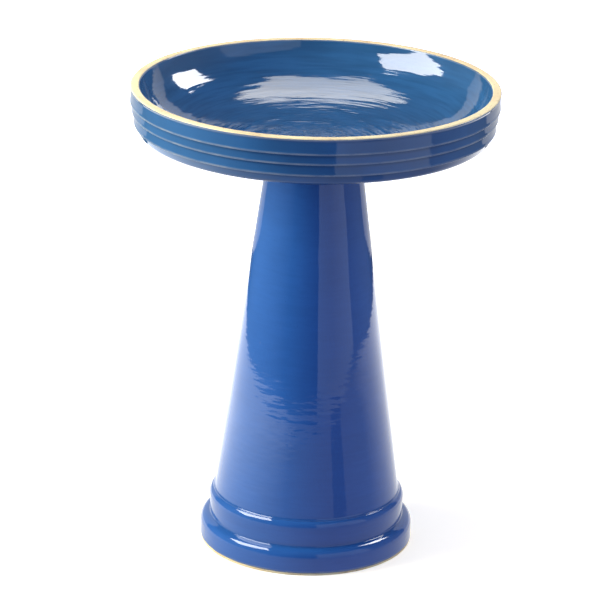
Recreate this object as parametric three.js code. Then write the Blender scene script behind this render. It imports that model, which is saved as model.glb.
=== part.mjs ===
// A stoneware bird bath: a shallow bowl that sits by its collar on the neck of a hollow pedestal,
// with a soft ring between them. Millimetres, +Z up, origin at the centre of the foot.
import * as THREE from "three";

// Driving dimensions
const totalHeight = 565;
const bowlDiameter = 432;
const footDiameter = 256;
const wallThickness = 11;
const assemblyGap = 0.3; // clearance between pieces that rest on each other

// Bowl
const rimRadius = bowlDiameter / 2;
const lipWidth = 10.4;
const lipHeight = 5;
const lipOverhang = 0.5; // of the lip past the side under it
const basinDepth = 70;
const wallLean = THREE.MathUtils.degToRad(16); // of the basin's wall, off the vertical, at the lip
const wallPull = 45; // how far the basin's curve holds the direction of its wall at the lip
const floorPull = 150; // the same for its level direction at the centre
const beadDrops = [18.5, 30.5, 44]; // from the rim down to each raised bead round the side
const beadHeight = 0.4;
const beadWidth = 3.2;
const stepUnderBead = 2.2; // the side steps in under each bead
const rollDrop = 56; // from the rim down to the bottom of the rolled lower edge
const rollRadius = 8;
const collarRadius = 77;
const collarHeight = 19;
const undersideSlope = 0.175;

// Pedestal
const neckRadius = 55.5;
const coneFootRadius = 111;
const coneFootHeight = 64;
const footRadius = footDiameter / 2;
const baseRingHeight = 28;
const shoulderRadius = 117.7;
const shoulderTop = 61;

// Seat
const seatThickness = 3;
const seatWidth = 8;
const neckClearance = 3.5;

// The bowl's floor stands over the seat ring, and the seat ring over the pedestal's top.
const floorThickness = 10;
const basinFloor = totalHeight - basinDepth;
const socketCeiling = basinFloor - floorThickness;
const seatTop = socketCeiling - assemblyGap;
const pedestalTop = seatTop - seatThickness - assemblyGap;

const segmentsAround = 48;
const smallFillet = 4; // fillets below this radius are cut as plain chamfers
const stepsPerFillet = 3;

/** A corner of an outline, rounded by a fillet of the given radius. */
function corner(radius, height, fillet = 0) {
  return { at: new THREE.Vector2(radius, height), fillet };
}

/** The points of an outline whose corners are rounded by tangent arcs. */
function roundedOutline(corners) {
  const points = [];
  corners.forEach(({ at, fillet }, index) => {
    const before = corners[index - 1];
    const after = corners[index + 1];
    if (!fillet || !before || !after) {
      points.push(at.clone());
      return;
    }
    const backward = before.at.clone().sub(at).normalize();
    const forward = after.at.clone().sub(at).normalize();
    const halfAngle = Math.acos(backward.dot(forward)) / 2;
    const cutBack = fillet / Math.tan(halfAngle);
    const start = at.clone().addScaledVector(backward, cutBack);
    const end = at.clone().addScaledVector(forward, cutBack);
    const bisector = backward.clone().add(forward).normalize();
    const centre = at.clone().addScaledVector(bisector, fillet / Math.sin(halfAngle));
    const startArm = start.clone().sub(centre);
    const turn = startArm.cross(end.clone().sub(centre)) > 0 ? 1 : -1;
    const sweep = turn * (Math.PI - 2 * halfAngle);
    const steps = fillet < smallFillet ? 1 : stepsPerFillet;
    for (let step = 0; step <= steps; step += 1) {
      const arm = startArm.clone().rotateAround(new THREE.Vector2(), (sweep * step) / steps);
      points.push(centre.clone().add(arm));
    }
  });
  return points;
}

/** A solid of revolution about +Z from an outline that runs up the outside and down the inside. */
function turnedMesh(name, outline, material) {
  const geometry = new THREE.LatheGeometry(outline, segmentsAround);
  geometry.rotateX(Math.PI / 2);
  const mesh = new THREE.Mesh(geometry, material);
  mesh.name = name;
  return mesh;
}

/** The basin's section: one smooth curve from the inner edge of the lip down to the centre of its floor. */
function basinSection() {
  const steps = 13;
  const lip = new THREE.Vector2(rimRadius - lipWidth, totalHeight);
  const centre = new THREE.Vector2(0, basinFloor);
  const downWall = new THREE.Vector2(-Math.sin(wallLean), -Math.cos(wallLean));
  const wallHandle = lip.clone().addScaledVector(downWall, wallPull);
  const floorHandle = new THREE.Vector2(floorPull, basinFloor);
  const curve = new THREE.CubicBezierCurve(lip, wallHandle, floorHandle, centre);
  return curve.getPoints(steps).map((point, index) => corner(point.x, point.y, index === 0 ? 2 : 0));
}

/** The side of the bowl from its rolled lower edge up to the lip: upright bands, each with a raised bead
 * at its lower edge, and each standing a step further out than the one below. */
function sideSection() {
  const sideAt = (band, drop, proud = 0) =>
    corner(rimRadius - lipOverhang - band * stepUnderBead + proud, totalHeight - drop);
  const corners = [];
  for (let band = beadDrops.length - 1; band >= 0; band -= 1) {
    const bead = beadDrops[band];
    corners.push(sideAt(band + 1, bead + beadWidth / 2));
    corners.push(sideAt(band, bead + beadHeight, beadHeight));
    corners.push(sideAt(band, bead - beadHeight, beadHeight));
    corners.push(sideAt(band, bead - beadWidth));
  }
  corners.push(sideAt(0, lipHeight));
  return corners;
}

/** The bowl: basin, lip, beaded side, sloping underside, and the collar round the pedestal's neck. */
function makeBowl() {
  const socketRadius = neckRadius + neckClearance;
  const rollEdge = rimRadius - beadDrops.length * stepUnderBead - 3.5;
  const underTop = totalHeight - rollDrop;
  const collarTop = underTop - (rollEdge - collarRadius) * undersideSlope;
  const collarFoot = collarTop - collarHeight;
  const outline = roundedOutline([
    corner(0, socketCeiling),
    corner(socketRadius, socketCeiling, 2),
    corner(socketRadius, collarFoot, 3),
    corner(collarRadius, collarFoot, 3),
    corner(collarRadius + 1, collarTop, 5),
    corner(rollEdge, underTop, rollRadius),
    ...sideSection(),
    corner(rimRadius, totalHeight, 2),
    ...basinSection(),
  ]);
  const glaze = new THREE.MeshStandardMaterial({ color: 0x24508f, roughness: 0.12, metalness: 0 });
  return turnedMesh("bowl", outline, glaze);
}

/** The pedestal: a hollow cone, open at the top and the bottom, on two rounded base rings. */
function makePedestal() {
  const neckWall = wallThickness;
  const footWall = wallThickness + 4;
  const outline = roundedOutline([
    corner(footRadius - footWall, 0),
    corner(footRadius - 0.7, 0, 1),
    corner(footRadius, baseRingHeight, 9),
    corner(shoulderRadius - 1, baseRingHeight + 4, 2),
    corner(shoulderRadius, shoulderTop, 9),
    corner(coneFootRadius, coneFootHeight, 3),
    corner(neckRadius, pedestalTop, 3),
    corner(neckRadius - neckWall, pedestalTop, 2),
    corner(coneFootRadius - neckWall, coneFootHeight, 20),
    corner(footRadius - footWall, baseRingHeight, 12),
    corner(footRadius - footWall, 0),
  ]);
  const glaze = new THREE.MeshStandardMaterial({ color: 0x204a92, roughness: 0.12, metalness: 0 });
  return turnedMesh("pedestal", outline, glaze);
}

/** The seat ring: a flat soft washer that lies on the pedestal's top edge. */
function makeSeatRing() {
  const outer = neckRadius - 2;
  const inner = outer - seatWidth;
  const bottom = seatTop - seatThickness;
  const outline = roundedOutline([
    corner(inner, bottom),
    corner(outer, bottom),
    corner(outer, seatTop),
    corner(inner, seatTop),
    corner(inner, bottom),
  ]);
  const rubber = new THREE.MeshStandardMaterial({ color: 0x1c1c1e, roughness: 0.85, metalness: 0 });
  return turnedMesh("seat_ring", outline, rubber);
}

const group = new THREE.Group();
group.add(makePedestal(), makeSeatRing(), makeBowl());

export default group;
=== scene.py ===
"""Looks of a glazed stoneware bird bath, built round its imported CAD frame.

Blender units are metres. Outlines are written in millimetres, as (radius, height) from the centre of the
foot, and turned() makes metres of them. Every piece is a solid of revolution about the z axis.
"""
import math

import bpy
from mathutils import Matrix, Vector, noise


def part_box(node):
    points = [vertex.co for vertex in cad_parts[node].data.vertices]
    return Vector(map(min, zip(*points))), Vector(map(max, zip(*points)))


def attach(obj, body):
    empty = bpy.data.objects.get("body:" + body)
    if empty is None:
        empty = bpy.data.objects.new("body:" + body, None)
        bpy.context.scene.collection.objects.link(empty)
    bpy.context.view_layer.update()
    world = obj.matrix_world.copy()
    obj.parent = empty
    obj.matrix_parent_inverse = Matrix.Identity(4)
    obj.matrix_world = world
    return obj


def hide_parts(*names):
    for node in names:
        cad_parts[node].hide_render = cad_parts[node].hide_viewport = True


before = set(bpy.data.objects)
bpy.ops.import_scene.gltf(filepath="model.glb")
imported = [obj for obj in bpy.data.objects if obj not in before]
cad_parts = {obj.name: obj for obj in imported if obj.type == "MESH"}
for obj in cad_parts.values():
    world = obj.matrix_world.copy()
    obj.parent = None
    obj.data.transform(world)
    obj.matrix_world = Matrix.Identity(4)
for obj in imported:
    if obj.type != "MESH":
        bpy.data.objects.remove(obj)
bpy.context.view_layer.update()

MM = 0.001

# Sizes that the frame gives
bowl_low, bowl_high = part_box("bowl")
pedestal_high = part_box("pedestal")[1]
seat_low, seat_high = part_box("seat_ring")
rim_radius = bowl_high.x / MM
rim_height = bowl_high.z / MM
collar_foot = bowl_low.z / MM
foot_radius = pedestal_high.x / MM
pedestal_top = pedestal_high.z / MM
seat_bottom = seat_low.z / MM
seat_top = seat_high.z / MM
seat_radius = seat_high.x / MM

# Pedestal
NECK_RADIUS = 55.5
NECK_WALL = 11
FOOT_WALL = 15
CONE_FOOT_RADIUS = 111
CONE_FOOT_HEIGHT = 64
BASE_RING_HEIGHT = 28
SHOULDER_RADIUS = 117.7
SHOULDER_TOP = 61
FOOT_LINE = 3.0  # height of the bare clay round the foot
GLAZED_DEPTH = 5.0  # of the wall's outer part, which the glazed piece fills
CLAY_STEP = 3.2  # width of bare clay inside the foot
PIECE_GAP = 0.2  # between the glazed piece and the bare one inside it

# Bowl
LIP_WIDTH = 10.4
LIP_HEIGHT = 4
LIP_OVERHANG = 0.5
LIP_GAP = 0.25  # between the bare lip and the faces of the CAD's lip
OUTER_GLAZE_DROP = 1.1  # from the rim down to the glaze's edge outside the lip
INNER_GLAZE_DROP = 0.6  # the same inside it
BASIN_DEPTH = 70
WALL_LEAN = math.radians(16)  # of the basin's wall, off the vertical, at the lip
WALL_PULL = 45  # how far the basin's section holds the wall's direction, as a Bezier handle
FLOOR_PULL = 150  # the same for the level direction at the centre of the floor
BEAD_DROPS = (18.5, 30.5, 44.0)  # from the rim down to each bead round the side
BEAD_HEIGHT = 0.45
BEAD_WIDTH = 3.0
BEAD_CREST = 1.4  # width of the bead's flat crest
BAND_TILT = 0.3  # how far a band's upper edge leans in
STEP_IN = 2.2  # how far the side steps in under each bead
ROLL_DROP = 56
ROLL_RADIUS = 8
ROLL_INSET = 3.5  # of the rolled lower edge from the lowest band
COLLAR_RADIUS = 77
UNDERSIDE_SLOPE = 0.175
SOCKET_RADIUS = NECK_RADIUS + 3.5

# Seat
SEAT_WIDTH = 8
SEAT_GAP = 0.3  # between the seat ring and the bowl

# Meshes
SEGMENTS_AROUND = 320
BASIN_STEPS = 90
LONGEST_STEP = 3.5  # between rings of points along an outline, in millimetres
ARC_STEP = math.radians(9)
SAME_PLACE = 1e-6  # millimetres
EDGE_REACH = 1.6  # how far each way the sharpness of an edge is judged, in millimetres
SHARPEST_TURN = math.radians(60)


# ---------------------------------------------------------------------------------------------------------
# Outlines


def rounded(corners):
    """The points of an outline from (radius, height) or (radius, height, fillet) corners."""
    points = []
    for index, corner in enumerate(corners):
        at = Vector(corner[:2])
        fillet = corner[2] if len(corner) > 2 else 0
        if not fillet or index in (0, len(corners) - 1):
            points.append(at)
            continue
        backward = (Vector(corners[index - 1][:2]) - at).normalized()
        forward = (Vector(corners[index + 1][:2]) - at).normalized()
        half_angle = backward.angle(forward) / 2
        cut_back = fillet / math.tan(half_angle)
        centre = at + (backward + forward).normalized() * (fillet / math.sin(half_angle))
        arm = at + backward * cut_back - centre
        end_arm = at + forward * cut_back - centre
        turn = math.copysign(1, arm.x * end_arm.y - arm.y * end_arm.x)
        sweep = turn * (math.pi - 2 * half_angle)
        steps = max(2, math.ceil(abs(sweep) / ARC_STEP))
        points += [centre + Matrix.Rotation(sweep * step / steps, 2) @ arm for step in range(steps + 1)]
    return points


def resampled(points):
    """The same outline, with no stretch longer than LONGEST_STEP."""
    fine = [points[0]]
    for start, end in zip(points, points[1:]):
        length = (end - start).length
        if length < SAME_PLACE:
            continue
        steps = math.ceil(length / LONGEST_STEP)
        fine += [start.lerp(end, step / steps) for step in range(1, steps + 1)]
    return fine


def edge_sharpness(points, index, closed):
    """How sharply an outline turns at a point: towards +1 on a convex edge, towards -1 in a groove."""
    here = points[index]

    def walk(step):
        at = index
        for _ in range(len(points)):
            following = at + step
            if closed:
                following %= len(points)
            elif not 0 <= following < len(points):
                break
            at = following
            if (points[at] - here).length >= EDGE_REACH:
                break
        return points[at]

    before = here - walk(-1)
    after = walk(1) - here
    if before.length < SAME_PLACE or after.length < SAME_PLACE:
        return 0.0
    turn = math.atan2(before.x * after.y - before.y * after.x, before.dot(after))
    return max(-1.0, min(1.0, turn / SHARPEST_TURN))


def ring_of(point, shift):
    """The vertices, in metres, that a point of an outline sweeps round the axis: one if it lies on it."""
    if point.x < SAME_PLACE:
        return [(0, 0, point.y * MM)]
    ring = []
    for segment in range(SEGMENTS_AROUND):
        angle = 2 * math.pi * segment / SEGMENTS_AROUND
        radius, height = point + shift(point, angle) if shift else point
        ring.append((radius * math.cos(angle) * MM, radius * math.sin(angle) * MM, height * MM))
    return ring


def faces_between(lower, upper):
    """The faces between two rings of vertex numbers: triangles where a ring is one point on the axis."""
    faces = []
    for segment in range(SEGMENTS_AROUND):
        following = (segment + 1) % SEGMENTS_AROUND
        corners = (lower[segment % len(lower)], lower[following % len(lower)],
                   upper[following % len(upper)], upper[segment % len(upper)])
        faces.append(list(dict.fromkeys(corners)))
    return faces


def turned(name, outline, shift=None):
    """A closed solid of revolution. The outline runs up the outside, and starts and ends on the axis or
    closes on itself. shift(point, angle) moves a point of the outline at that angle, in millimetres."""
    points = resampled(outline)
    closed = (points[0] - points[-1]).length < SAME_PLACE
    if closed:
        points.pop()
    vertices = []
    sharpness = []
    rings = []
    for index, point in enumerate(points):
        ring = ring_of(point, shift)
        rings.append(range(len(vertices), len(vertices) + len(ring)))
        vertices += ring
        sharpness += [edge_sharpness(points, index, closed)] * len(ring)
    next_rings = rings[1:] + rings[:1] if closed else rings[1:]
    faces = []
    for lower, upper in zip(rings, next_rings):
        faces += faces_between(lower, upper)
    mesh = bpy.data.meshes.new(name)
    mesh.from_pydata(vertices, [], faces)
    mesh.attributes.new("edge", "FLOAT", "POINT").data.foreach_set("value", sharpness)
    mesh.polygons.foreach_set("use_smooth", [True] * len(mesh.polygons))
    mesh.update()
    piece = bpy.data.objects.new(name, mesh)
    bpy.context.scene.collection.objects.link(piece)
    return piece


# ---------------------------------------------------------------------------------------------------------
# The unevenness of hand-finished clay, in millimetres


def ripple(angle, height, around, along, seed):
    """Smooth noise in -1..1 on a surface of revolution, without a seam. around is the number of its cells
    in a radian, and along the height of one in millimetres."""
    place = (math.cos(angle) * around, math.sin(angle) * around + seed, height / along)
    return noise.noise(Vector(place))


def dent(depth, angle, height, **pattern):
    """Noise from 0 down to twice the depth: dents alone, so that a piece never outgrows its CAD solid."""
    return depth * (ripple(angle, height, **pattern) - 1)


def nearness(height, edge, reach):
    """1 at the height of an edge, falling to 0 at the given reach from it."""
    return max(0.0, 1 - abs(height - edge) / reach)


def slow_dents(angle, height):
    """The slow waves that the bowl's glaze and its lip share."""
    return dent(0.35, angle, height, around=1.3, along=60, seed=3)


def hand_finished_bowl(point, angle):
    """The bowl isn't turned perfectly: its side swells and its glaze edge wavers a little."""
    swell = slow_dents(angle, point.y) + dent(0.10, angle, point.y, around=6, along=9, seed=11)
    near_edge = nearness(point.y, rim_height - OUTER_GLAZE_DROP, reach=1.5)
    waver = 0.3 * ripple(angle, 0, around=9, along=1, seed=5) * near_edge
    return Vector((swell if point.x > COLLAR_RADIUS else 0, waver))


def hand_finished_lip(point, angle):
    """The lip's edges are softly uneven and draw in a little; its top stays flat."""
    middle = rim_radius - LIP_WIDTH / 2
    outward = 1 if point.x > middle else -1
    draw_in = dent(0.15, angle, point.y, around=14, along=5, seed=8)
    return Vector((slow_dents(angle, 0) + outward * draw_in, 0))


def hand_finished_pedestal(point, angle):
    """Slow waves on the pedestal's wall, which fade towards the foot, and a glaze edge that wavers there."""
    fade_height = 20
    share = min(1.0, max(0.0, (point.y - FOOT_LINE) / fade_height))
    swell = dent(0.30, angle, point.y, around=1.1, along=120, seed=21)
    swell += dent(0.07, angle, point.y, around=5, along=28, seed=27)
    waver = 0.5 * ripple(angle, 0, around=8, along=1, seed=33) * nearness(point.y, FOOT_LINE, reach=2.5)
    return Vector((swell * share, waver))


# ---------------------------------------------------------------------------------------------------------
# Pieces of the bowl


def basin_outline(top):
    """Down the basin from the given height to the centre of its floor, on one cubic Bezier curve."""
    lip = Vector((rim_radius - LIP_WIDTH, rim_height))
    wall_handle = lip - WALL_PULL * Vector((math.sin(WALL_LEAN), math.cos(WALL_LEAN)))
    centre = Vector((0, rim_height - BASIN_DEPTH))
    floor_handle = centre + Vector((FLOOR_PULL, 0))
    points = []
    for step in range(BASIN_STEPS + 1):
        t = step / BASIN_STEPS
        u = 1 - t
        point = u**3 * lip + 3 * u * u * t * wall_handle + 3 * u * t * t * floor_handle + t**3 * centre
        if point.y < top:
            points.append(point)
    return points


def side_outline():
    """Up the bowl's side, from the rolled edge to the underside of the lip. Upright bands step in one under
    the other, and each ends in a bead at its lower edge."""

    def at(band, drop, proud, fillet):
        return (rim_radius - LIP_OVERHANG - band * STEP_IN + proud, rim_height - drop, fillet)

    corners = []
    for band in reversed(range(len(BEAD_DROPS))):
        bead = BEAD_DROPS[band]
        corners.append(at(band + 1, bead + BEAD_WIDTH / 2, -BAND_TILT, 0.8))
        corners.append(at(band, bead + BEAD_CREST / 2, BEAD_HEIGHT, 0.5))
        corners.append(at(band, bead - BEAD_CREST / 2, BEAD_HEIGHT, 0.5))
        corners.append(at(band, bead - BEAD_WIDTH, 0.0, 1.5))
    corners.append(at(0, LIP_HEIGHT, -BAND_TILT, 0.8))
    return corners


def bowl_glaze_outline():
    """The whole bowl but for its bare lip, which lies in a channel between the two edges of the glaze."""
    socket_ceiling = seat_top + SEAT_GAP
    roll_edge = rim_radius - LIP_OVERHANG - len(BEAD_DROPS) * STEP_IN - ROLL_INSET
    under_top = rim_height - ROLL_DROP
    collar_top = under_top - (roll_edge - COLLAR_RADIUS) * UNDERSIDE_SLOPE
    outer_edge = rim_height - OUTER_GLAZE_DROP
    inner_edge = rim_height - INNER_GLAZE_DROP
    channel = rim_height - LIP_HEIGHT
    lip_flare = 1.6
    lip_inner = rim_radius - LIP_WIDTH
    outer_skin = 0.8
    inner_skin = 1.0
    draft = 0.1
    outside = rounded([
        (0, socket_ceiling),
        (SOCKET_RADIUS, socket_ceiling, 3),
        (SOCKET_RADIUS, collar_foot, 4),
        (COLLAR_RADIUS, collar_foot, 4),
        (COLLAR_RADIUS + 1, collar_top, 6),
        (roll_edge, under_top, ROLL_RADIUS),
        *side_outline(),
        (rim_radius, channel + lip_flare, 0.8),
        (rim_radius, outer_edge, 0.35),
        (rim_radius - outer_skin + draft, outer_edge, 0.2),
        (rim_radius - outer_skin, channel),
        (lip_inner + inner_skin, channel),
        (lip_inner + inner_skin - draft, inner_edge, 0.2),
        (lip_inner - draft, inner_edge),
    ])
    return outside + basin_outline(inner_edge - draft)


def bowl_lip_outline():
    """The bare clay of the lip, flat where it stood on the kiln shelf."""
    inner = rim_radius - LIP_WIDTH + LIP_GAP
    outer = rim_radius - LIP_GAP
    bottom = rim_height - LIP_HEIGHT + 0.5
    bevel_width = 1.2
    bevel_height = 1.5
    return rounded([
        (inner + bevel_width, bottom),
        (outer - bevel_width, bottom),
        (outer, bottom + bevel_height, 0.5),
        (outer, rim_height, 1.5),
        (inner, rim_height, 1.1),
        (inner, bottom + bevel_height, 0.5),
        (inner + bevel_width, bottom),
    ])


# ---------------------------------------------------------------------------------------------------------
# Pieces of the pedestal, and the seat


def pedestal_glaze_outline():
    """The glazed outside of the pedestal, down to the bare line round its foot."""
    inner_foot = foot_radius - FOOT_WALL + CLAY_STEP + PIECE_GAP
    return rounded([
        (foot_radius - GLAZED_DEPTH, FOOT_LINE),
        (foot_radius - 1.0, FOOT_LINE, 0.4),
        (foot_radius - 0.2, FOOT_LINE + 1, 0.6),
        (foot_radius, BASE_RING_HEIGHT, 10),
        (SHOULDER_RADIUS - 1.2, BASE_RING_HEIGHT + 3.6, 2.4),
        (SHOULDER_RADIUS, SHOULDER_TOP, 9),
        (CONE_FOOT_RADIUS, CONE_FOOT_HEIGHT, 3),
        (NECK_RADIUS, pedestal_top, 3.2),
        (NECK_RADIUS - GLAZED_DEPTH, pedestal_top),
        (CONE_FOOT_RADIUS - GLAZED_DEPTH, CONE_FOOT_HEIGHT, 12),
        (inner_foot, BASE_RING_HEIGHT - 4, 6),
        (inner_foot, FOOT_LINE),
        (foot_radius - GLAZED_DEPTH, FOOT_LINE),
    ])


def pedestal_clay_outline():
    """The bare clay inside the pedestal and round its foot."""
    depth = GLAZED_DEPTH + PIECE_GAP
    inner_foot = foot_radius - FOOT_WALL + CLAY_STEP
    foot_top = FOOT_LINE - PIECE_GAP / 2
    neck_top = pedestal_top - PIECE_GAP / 2
    return rounded([
        (foot_radius - FOOT_WALL, 0, 1.5),
        (foot_radius - 0.9, 0, 1.2),
        (foot_radius - 0.8, foot_top, 0.2),
        (inner_foot, foot_top),
        (inner_foot, BASE_RING_HEIGHT - 4, 6),
        (CONE_FOOT_RADIUS - depth, CONE_FOOT_HEIGHT, 12),
        (NECK_RADIUS - depth, neck_top, 0.3),
        (NECK_RADIUS - NECK_WALL, neck_top, 2),
        (CONE_FOOT_RADIUS - NECK_WALL, CONE_FOOT_HEIGHT, 20),
        (foot_radius - FOOT_WALL, BASE_RING_HEIGHT, 12),
        (foot_radius - FOOT_WALL, 0),
    ])


def seat_ring_outline():
    """A soft washer with rounded edges."""
    inner = seat_radius - SEAT_WIDTH
    middle = seat_radius - SEAT_WIDTH / 2
    fillet = 0.8
    return rounded([
        (middle, seat_bottom),
        (seat_radius, seat_bottom, fillet),
        (seat_radius, seat_top, fillet),
        (inner, seat_top, fillet),
        (inner, seat_bottom, fillet),
        (middle, seat_bottom),
    ])


# ---------------------------------------------------------------------------------------------------------
# Shader nodes


def node(tree, kind, inputs=None, **settings):
    """Adds a shader node. inputs gives a value, or a socket to link, for each named or numbered input."""
    made = tree.nodes.new("ShaderNode" + kind)
    for key, value in settings.items():
        setattr(made, key, value)
    for key, value in (inputs or {}).items():
        if isinstance(value, bpy.types.NodeSocket):
            tree.links.new(value, made.inputs[key])
        else:
            made.inputs[key].default_value = value
    return made


def calculated(tree, operation, first, second=0.0):
    """The result of a Math node."""
    return node(tree, "Math", {0: first, 1: second}, operation=operation).outputs[0]


def ramp(tree, fac, stops):
    """A colour ramp through (position, (r, g, b)) stops."""
    made = node(tree, "ValToRGB", {"Fac": fac})
    elements = made.color_ramp.elements
    while len(elements) < len(stops):
        elements.new(0.5)
    for element, (position, colour) in zip(elements, stops):
        element.position = position
        element.color = (*colour, 1)
    return made.outputs["Color"]


def remap(tree, value, low, high, to_low=0.0, to_high=1.0):
    """Maps low..high to to_low..to_high, clamped."""
    limits = {"Value": value, "From Min": low, "From Max": high, "To Min": to_low, "To Max": to_high}
    return node(tree, "MapRange", limits).outputs["Result"]


def blend_colours(tree, fac, first, second):
    """Mixes two colours, each a socket or an (r, g, b) tuple. A Mix node numbers its sockets for colours:
    0 is the factor, 6 and 7 are the colours, and 2 is the result."""
    made = node(tree, "Mix", {0: fac}, data_type="RGBA")
    for key, colour in ((6, first), (7, second)):
        if isinstance(colour, bpy.types.NodeSocket):
            tree.links.new(colour, made.inputs[key])
        else:
            made.inputs[key].default_value = (*colour, 1)
    return made.outputs[2]


def round_the_axis(tree, around, along, across_radius=False):
    """Texture coordinates that run round the z axis without a seam: around is the number of noise cells in
    a radian, and along the number in a metre of height, or of radius with across_radius."""
    place = node(tree, "TexCoord").outputs["Object"]
    level = node(tree, "VectorMath", {0: place, 1: (1, 1, 0)}, operation="MULTIPLY").outputs[0]
    outward = node(tree, "VectorMath", {0: level}, operation="NORMALIZE").outputs[0]
    if across_radius:
        reach = node(tree, "VectorMath", {0: level}, operation="LENGTH").outputs["Value"]
    else:
        reach = node(tree, "SeparateXYZ", {0: place}).outputs["Z"]
    lift = node(tree, "CombineXYZ", {"Z": calculated(tree, "MULTIPLY", reach, along)}).outputs[0]
    turn = node(tree, "VectorMath", {0: outward, "Scale": around}, operation="SCALE").outputs[0]
    return node(tree, "VectorMath", {0: turn, 1: lift}, operation="ADD").outputs[0]


def noise_value(tree, vector, scale=1.0, detail=2.0, roughness=0.5):
    """A noise texture's value, about 0.5 on average."""
    settings = {"Vector": vector, "Scale": scale, "Detail": detail, "Roughness": roughness}
    return node(tree, "TexNoise", settings).outputs["Fac"]


def add_bump(tree, height, distance, normal=None):
    """Bump whose height of 1 stands distance metres proud."""
    made = node(tree, "Bump", {"Height": height, "Distance": distance, "Strength": 1.0})
    if normal:
        tree.links.new(normal, made.inputs["Normal"])
    return made.outputs["Normal"]


def new_material(name):
    """A material with an empty Principled shader, its tree and the shader."""
    material = bpy.data.materials.new(name)
    material.use_nodes = True
    tree = material.node_tree
    return material, tree, tree.nodes["Principled BSDF"]


# ---------------------------------------------------------------------------------------------------------
# Materials

BOWL_BLUE = (0.021, 0.086, 0.165)
PEDESTAL_BLUE = (0.018, 0.086, 0.228)
# Pale greyish glaze for sharp edges: partly glaze breaking thinner there, partly a painted highlight along
# the beads.
THIN_GLAZE_AND_HIGHLIGHT = (0.150, 0.190, 0.200)

CREAM_CLAY = (0.78, 0.60, 0.25)
TAN_CLAY = (0.68, 0.46, 0.18)
TOASTED_CLAY = (0.40, 0.22, 0.09)
PALE_GRAIN = (0.80, 0.68, 0.32)
IRON_SPECK = (0.25, 0.13, 0.06)

BLACK_RUBBER = (0.012, 0.012, 0.013)
DUSTY_RUBBER = (0.055, 0.052, 0.048)


def glaze_colour(tree, blue, broad_streaks, fine_streaks, streak_tint):
    """Blue with brushed streaks, cloudy and specked, darker where it pools in a groove, and pale and
    greyish on sharp edges: partly glaze breaking thinner there, partly a painted highlight."""
    deep_blue = tuple(0.65 * channel for channel in blue)
    pale_blue = tuple(1.35 * channel for channel in blue)
    place = node(tree, "TexCoord").outputs["Object"]
    clouds = noise_value(tree, place, scale=14.0, detail=3.0)
    specks = noise_value(tree, place, scale=900.0, detail=1.0)
    edge = node(tree, "Attribute", attribute_name="edge").outputs["Fac"]

    both_streaks = calculated(tree, "ADD", broad_streaks, fine_streaks)
    streaks = ramp(tree, remap(tree, both_streaks, 0.75, 1.25),
                   [(0.1, deep_blue), (0.5, blue), (0.9, pale_blue)])
    streaked = blend_colours(tree, streak_tint, blue, streaks)
    cloudy = blend_colours(tree, remap(tree, clouds, 0.35, 0.7, 0.0, 0.25), streaked, deep_blue)
    pooled = blend_colours(tree, remap(tree, edge, -0.1, -0.8, 0.0, 0.6), cloudy, deep_blue)
    # On sharp convex edges the glaze turns pale and greyish: partly glaze breaking thinner, partly a painted
    # highlight.
    edge_pale_noise = noise_value(tree, round_the_axis(tree, 9.0, 60.0), detail=3.0)
    thin_and_highlight_share = remap(tree, edge_pale_noise, 0.3, 0.6, 0.35, 0.9)
    thin_and_highlight_mask = calculated(tree, "MULTIPLY", remap(tree, edge, 0.4, 1.0), thin_and_highlight_share)
    thin_and_highlit = blend_colours(tree, thin_and_highlight_mask, pooled, THIN_GLAZE_AND_HIGHLIGHT)
    return blend_colours(tree, remap(tree, specks, 0.70, 0.76, 0.0, 0.6), thin_and_highlit, deep_blue)


def glaze(name, blue, streak_bump, across_radius, streak_tint, ripple_bump):
    """Glossy blue glaze with brushed streaks round the axis, soft ripples and a few pinholes. The streaks
    and ripples follow the height, or the radius with across_radius."""
    material, tree, shader = new_material(name)
    broad_streaks = noise_value(tree, round_the_axis(tree, 2.4, 95.0, across_radius), detail=1.0)
    fine_streaks = noise_value(tree, round_the_axis(tree, 3.0, 300.0, across_radius), detail=2.0)
    colour = glaze_colour(tree, blue, broad_streaks, fine_streaks, streak_tint)
    tree.links.new(colour, shader.inputs["Base Color"])
    tree.links.new(remap(tree, fine_streaks, 0.3, 0.7, 0.04, 0.07), shader.inputs["Roughness"])
    shader.inputs["IOR"].default_value = 1.52

    place = node(tree, "TexCoord").outputs["Object"]
    height = node(tree, "SeparateXYZ", {0: place}).outputs["Z"]
    ripples = noise_value(tree, round_the_axis(tree, 5.0, 160.0, across_radius), detail=1.0)
    stronger_below = remap(tree, height, 0.30, 0.14, 0.25, 1.0)
    waves = calculated(tree, "MULTIPLY", ripples, stronger_below)
    cells = node(tree, "TexVoronoi", {"Vector": place, "Scale": 45.0}).outputs["Distance"]
    pinholes = remap(tree, cells, 0.02, 0.05)
    normal = add_bump(tree, waves, ripple_bump)
    normal = add_bump(tree, broad_streaks, streak_bump, normal)
    normal = add_bump(tree, fine_streaks, 0.4 * streak_bump, normal)
    normal = add_bump(tree, pinholes, 0.00006, normal)
    tree.links.new(normal, shader.inputs["Normal"])
    return material


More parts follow.
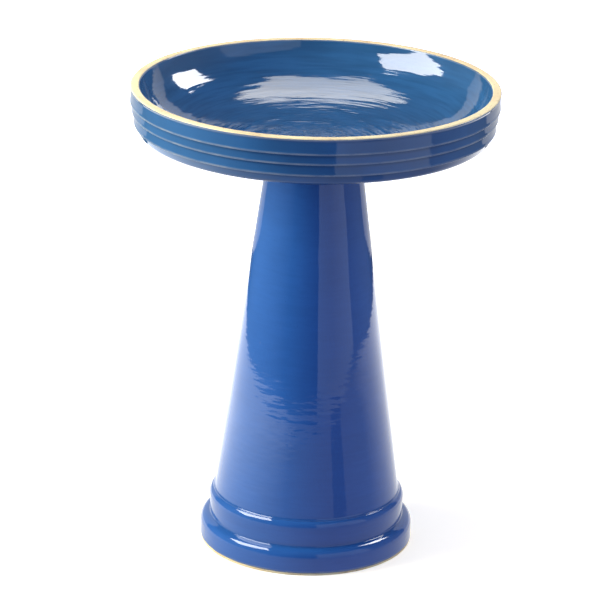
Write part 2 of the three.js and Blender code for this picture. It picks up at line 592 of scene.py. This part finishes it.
def bare_clay(name):
    """Unglazed cream stoneware with a fine grain, toasted patches and iron specks."""
    material, tree, shader = new_material(name)
    place = node(tree, "TexCoord").outputs["Object"]
    patches = noise_value(tree, round_the_axis(tree, 3.0, 40.0), detail=4.0, roughness=0.6)
    grain = noise_value(tree, place, scale=700.0, detail=3.0, roughness=0.7)
    specks = noise_value(tree, place, scale=420.0, detail=1.0)
    toasted = ramp(tree, patches, [(0.42, CREAM_CLAY), (0.60, TAN_CLAY), (0.72, TOASTED_CLAY)])
    grained = blend_colours(tree, remap(tree, grain, 0.3, 0.7, 0.0, 0.3), toasted, PALE_GRAIN)
    specked = blend_colours(tree, remap(tree, specks, 0.68, 0.74, 0.0, 0.7), grained, IRON_SPECK)
    tree.links.new(specked, shader.inputs["Base Color"])
    tree.links.new(remap(tree, grain, 0.2, 0.8, 0.65, 0.9), shader.inputs["Roughness"])
    shader.inputs["IOR"].default_value = 1.45
    normal = add_bump(tree, patches, 0.0003)
    normal = add_bump(tree, grain, 0.00012, normal)
    tree.links.new(normal, shader.inputs["Normal"])
    return material


def rubber(name):
    """Dark, matt rubber with a faint grain and a little dust."""
    material, tree, shader = new_material(name)
    place = node(tree, "TexCoord").outputs["Object"]
    grain = noise_value(tree, place, scale=900.0, detail=3.0)
    dust = noise_value(tree, place, scale=60.0, detail=4.0, roughness=0.65)
    colour = ramp(tree, dust, [(0.4, BLACK_RUBBER), (0.75, DUSTY_RUBBER)])
    tree.links.new(colour, shader.inputs["Base Color"])
    tree.links.new(remap(tree, grain, 0.3, 0.7, 0.7, 0.9), shader.inputs["Roughness"])
    tree.links.new(add_bump(tree, grain, 0.00008), shader.inputs["Normal"])
    return material


# ---------------------------------------------------------------------------------------------------------
# Stage


def direction(azimuth, elevation):
    """A unit vector; the azimuth runs from +Y towards +X. Both angles are in degrees."""
    a = math.radians(azimuth)
    e = math.radians(elevation)
    return Vector((math.sin(a) * math.cos(e), math.cos(a) * math.cos(e), math.sin(e)))


def stage_piece(name, corners, material):
    """A flat stage piece with the given corners."""
    mesh = bpy.data.meshes.new(name)
    mesh.from_pydata(corners, [], [range(len(corners))])
    mesh.materials.append(material)
    piece = bpy.data.objects.new(name, mesh)
    bpy.context.scene.collection.objects.link(piece)
    return piece


def stage_material(name, colour, glow):
    """A matt colour with a white glow of the given strength."""
    material, tree, shader = new_material(name)
    shader.inputs["Base Color"].default_value = (*colour, 1)
    shader.inputs["Roughness"].default_value = 0.8
    shader.inputs["Emission Color"].default_value = (1, 1, 1, 1)
    shader.inputs["Emission Strength"].default_value = glow
    return material


def glowing(name, glow):
    """A material that only glows, for what the glaze mirrors."""
    return stage_material(name, (0, 0, 0), glow)


def only_mirrored(piece):
    """Makes a stage piece show in reflections alone."""
    piece.visible_camera = False
    piece.visible_diffuse = False
    piece.visible_shadow = False


def never_mirrored(piece):
    """Makes a stage piece show to the camera alone."""
    piece.visible_glossy = False
    piece.visible_diffuse = False


def add_mirrored_table(corners):
    """A pale table top for the glaze to mirror: dim at the front right, and brighter away from there."""
    dimmest_place = (0.6, -1.1, 0)
    material = glowing("table_glow", 1.0)
    tree = material.node_tree
    place = node(tree, "TexCoord").outputs["Object"]
    away = node(tree, "VectorMath", {0: place, 1: dimmest_place}, operation="DISTANCE").outputs["Value"]
    glow = remap(tree, away, 1.0, 1.85, 0.6, 2.5)
    tree.links.new(glow, tree.nodes["Principled BSDF"].inputs["Emission Strength"])
    only_mirrored(stage_piece("mirrored_table", corners, material))


def add_dark_gap():
    """A dark sector over the mirrored table, at the front right."""
    near, far = 0.5, 2.0
    left, right = direction(149, 0), direction(134, 0)
    corners = [right * near, right * far, left * far, left * near]
    only_mirrored(stage_piece("dark_gap", corners, glowing("gap_dark", 0.25)))


def add_back_board():
    """A pale board behind the object for the glaze to mirror, leaning back."""
    left, right = -1.45, 1.5
    foot_y, foot_z = 1.1, 0.02
    top_y, top_z = 1.5, 1.2
    corners = [(left, foot_y, foot_z), (right, foot_y, foot_z), (right, top_y, top_z), (left, top_y, top_z)]
    only_mirrored(stage_piece("back_board", corners, glowing("board_glow", 0.9)))


def add_far_floor():
    """White floor for the camera, out to the horizon, just under the table."""
    far = 30
    level = -0.002
    corners = [(-far, -far, level), (far, -far, level), (far, far, level), (-far, far, level)]
    floor = stage_piece("far_floor", corners, stage_material("far_white", (0.86, 0.86, 0.87), 1.05))
    never_mirrored(floor)
    floor.visible_shadow = False


def add_stage():
    """A white floor for the camera, and what the glaze mirrors: a round table with a board behind it."""
    centre = Vector((0.12, -0.32, 0))
    radius = 1.48
    sides = 96
    turns = [2 * math.pi * side / sides for side in range(sides)]
    rim = [centre + radius * Vector((math.cos(turn), math.sin(turn), 0)) for turn in turns]
    never_mirrored(stage_piece("table", rim, stage_material("table_white", (0.90, 0.76, 0.48), 0.45)))
    just_below = Vector((0, 0, -0.001))
    add_mirrored_table([corner + just_below for corner in rim])
    add_dark_gap()
    add_back_board()
    add_far_floor()


# ---------------------------------------------------------------------------------------------------------
# Light and camera


def background(tree, colour, strength):
    return node(tree, "Background", {"Color": (*colour, 1), "Strength": strength}).outputs[0]


def add_world():
    """White for the camera, a soft bluish daylight on the pieces, and a dim room for the glaze to mirror,
    lighter at its sides."""
    world = bpy.data.worlds.new("room")
    bpy.context.scene.world = world
    world.use_nodes = True
    tree = world.node_tree
    toward = node(tree, "TexCoord").outputs["Generated"]
    sideways = calculated(tree, "ABSOLUTE", node(tree, "SeparateXYZ", {0: toward}).outputs["X"])
    room_brightness = remap(tree, sideways, 0.6, 1.0, 0.12, 0.5)
    seen = background(tree, (1, 1, 1), 1.05)
    daylight = background(tree, (0.37, 0.48, 1.0), 1.0)
    room = background(tree, (0.85, 0.92, 1.0), room_brightness)
    path = node(tree, "LightPath").outputs
    unseen = node(tree, "MixShader", {0: path["Is Glossy Ray"], 1: daylight, 2: room}).outputs[0]
    mixed = node(tree, "MixShader", {0: path["Is Camera Ray"], 1: unseen, 2: seen}).outputs[0]
    tree.links.new(mixed, tree.nodes["World Output"].inputs["Surface"])


def add_softbox(name, centre, aim, size, radiance, roll=0.0, colour=(1, 1, 1)):
    """A rectangular lamp of the given (width, height) and radiance, facing aim, rolled by some degrees."""
    data = bpy.data.lights.new(name, "AREA")
    data.shape = "RECTANGLE"
    data.size, data.size_y = size
    data.energy = math.pi * size[0] * size[1] * radiance
    data.color = colour
    lamp = bpy.data.objects.new(name, data)
    facing = (Vector(aim) - Vector(centre)).to_track_quat("-Z", "Y").to_matrix()
    rolled = facing @ Matrix.Rotation(math.radians(roll), 3, "Z")
    lamp.matrix_world = Matrix.Translation(centre) @ rolled.to_4x4()
    lamp.visible_camera = False
    bpy.context.scene.collection.objects.link(lamp)
    return lamp


def add_highlights():
    """The lamps that the glaze mirrors. They don't light the pieces otherwise."""
    bowl_centre = Vector((0, 0, rim_height * MM))
    left = bowl_centre + direction(-98, 36) * 1.3
    right = bowl_centre + direction(50, 36) * 1.3
    above = Vector((-0.03, 0.69, 1.52))
    below = above - Vector((0, 0, 1))
    front_aim = Vector((0, 0, 0.9))
    front = front_aim + direction(138, 0) * 1.5
    lamps = [
        add_softbox("left_softbox", left, bowl_centre, size=(0.86, 0.93), radiance=15, roll=-33),
        add_softbox("right_softbox", right, bowl_centre, size=(0.45, 0.50), radiance=17, roll=-45),
        add_softbox("overhead_panel", above, below, size=(0.47, 0.84), radiance=6.3, colour=(1, 0.96, 0.86)),
        add_softbox("front_reflector", front, front_aim, size=(1.7, 1.75), radiance=0.75,
                    colour=(0.9, 0.97, 1.0)),
    ]
    for lamp in lamps:
        lamp.visible_diffuse = False


def add_fills():
    """The light on the pieces: strong and low from the left, weak from the right and from above."""
    middle = Vector((0, 0, 0.40))
    left = middle + direction(-98, 19) * 1.6
    right = middle + direction(68, 22) * 1.6
    above = middle + Vector((0, -0.2, 1.4))
    fills = [
        add_softbox("left_fill", left, middle, size=(1.0, 1.0), radiance=17.5),
        add_softbox("right_fill", right, middle, size=(0.8, 0.8), radiance=5),
        add_softbox("top_fill", above, middle, size=(1.0, 1.0), radiance=2.2),
    ]
    for fill in fills:
        fill.visible_glossy = False


def add_camera():
    """A long lens, a little above the bowl, with the slight roll of a hand-held view."""
    place = (0, -3.728, 1.625)
    pitch = math.radians(19.56)
    pan = math.radians(-0.20)
    roll = math.radians(1.3)
    forward = Vector((math.sin(pan) * math.cos(pitch), math.cos(pan) * math.cos(pitch), -math.sin(pitch)))
    level_right = Vector((math.cos(pan), -math.sin(pan), 0))
    level_up = level_right.cross(forward)
    right = math.cos(roll) * level_right + math.sin(roll) * level_up
    up = math.cos(roll) * level_up - math.sin(roll) * level_right
    data = bpy.data.cameras.new("camera")
    data.sensor_width = 36
    data.lens = 200
    camera = bpy.data.objects.new("camera", data)
    turn = Matrix((right, up, -forward)).transposed()
    camera.matrix_world = Matrix.Translation(place) @ turn.to_4x4()
    bpy.context.scene.collection.objects.link(camera)
    bpy.context.scene.camera = camera


# ---------------------------------------------------------------------------------------------------------
# Assembly


def add_piece(name, outline, shift, body, material, replaces=None):
    """Turns an outline into a piece that rides on a body, and may take the place of a CAD node."""
    piece = turned(name, outline, shift)
    piece.data.materials.append(material)
    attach(piece, body)
    if replaces:
        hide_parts(replaces)


def add_bowl(clay):
    """The glazed bowl, which takes the place of the CAD bowl, and its bare lip."""
    bowl_blue = glaze("bowl_glaze", BOWL_BLUE, streak_bump=0.0008, across_radius=True,
                      streak_tint=0.35, ripple_bump=0.0001)
    add_piece("bowl_glazed", bowl_glaze_outline(), hand_finished_bowl, "bowl", bowl_blue,
              replaces="bowl")
    add_piece("bowl_lip", bowl_lip_outline(), hand_finished_lip, "bowl", clay)


def add_pedestal(clay):
    """The glazed pedestal, which takes the place of the CAD pedestal, and the bare clay inside it."""
    pedestal_blue = glaze("pedestal_glaze", PEDESTAL_BLUE, streak_bump=0.00001, across_radius=False,
                          streak_tint=0.08, ripple_bump=0.00015)
    add_piece("pedestal_glazed", pedestal_glaze_outline(), hand_finished_pedestal, "pedestal",
              pedestal_blue, replaces="pedestal")
    add_piece("pedestal_clay", pedestal_clay_outline(), None, "pedestal", clay)


def add_seat():
    """The soft washer between the pedestal and the bowl."""
    add_piece("seat_washer", seat_ring_outline(), None, "seat_ring", rubber("rubber"),
              replaces="seat_ring")


add_camera()
add_world()
add_stage()
add_highlights()
add_fills()
clay = bare_clay("bare_clay")
add_bowl(clay)
add_pedestal(clay)
add_seat()

bpy.context.scene.view_settings.view_transform = "Standard"
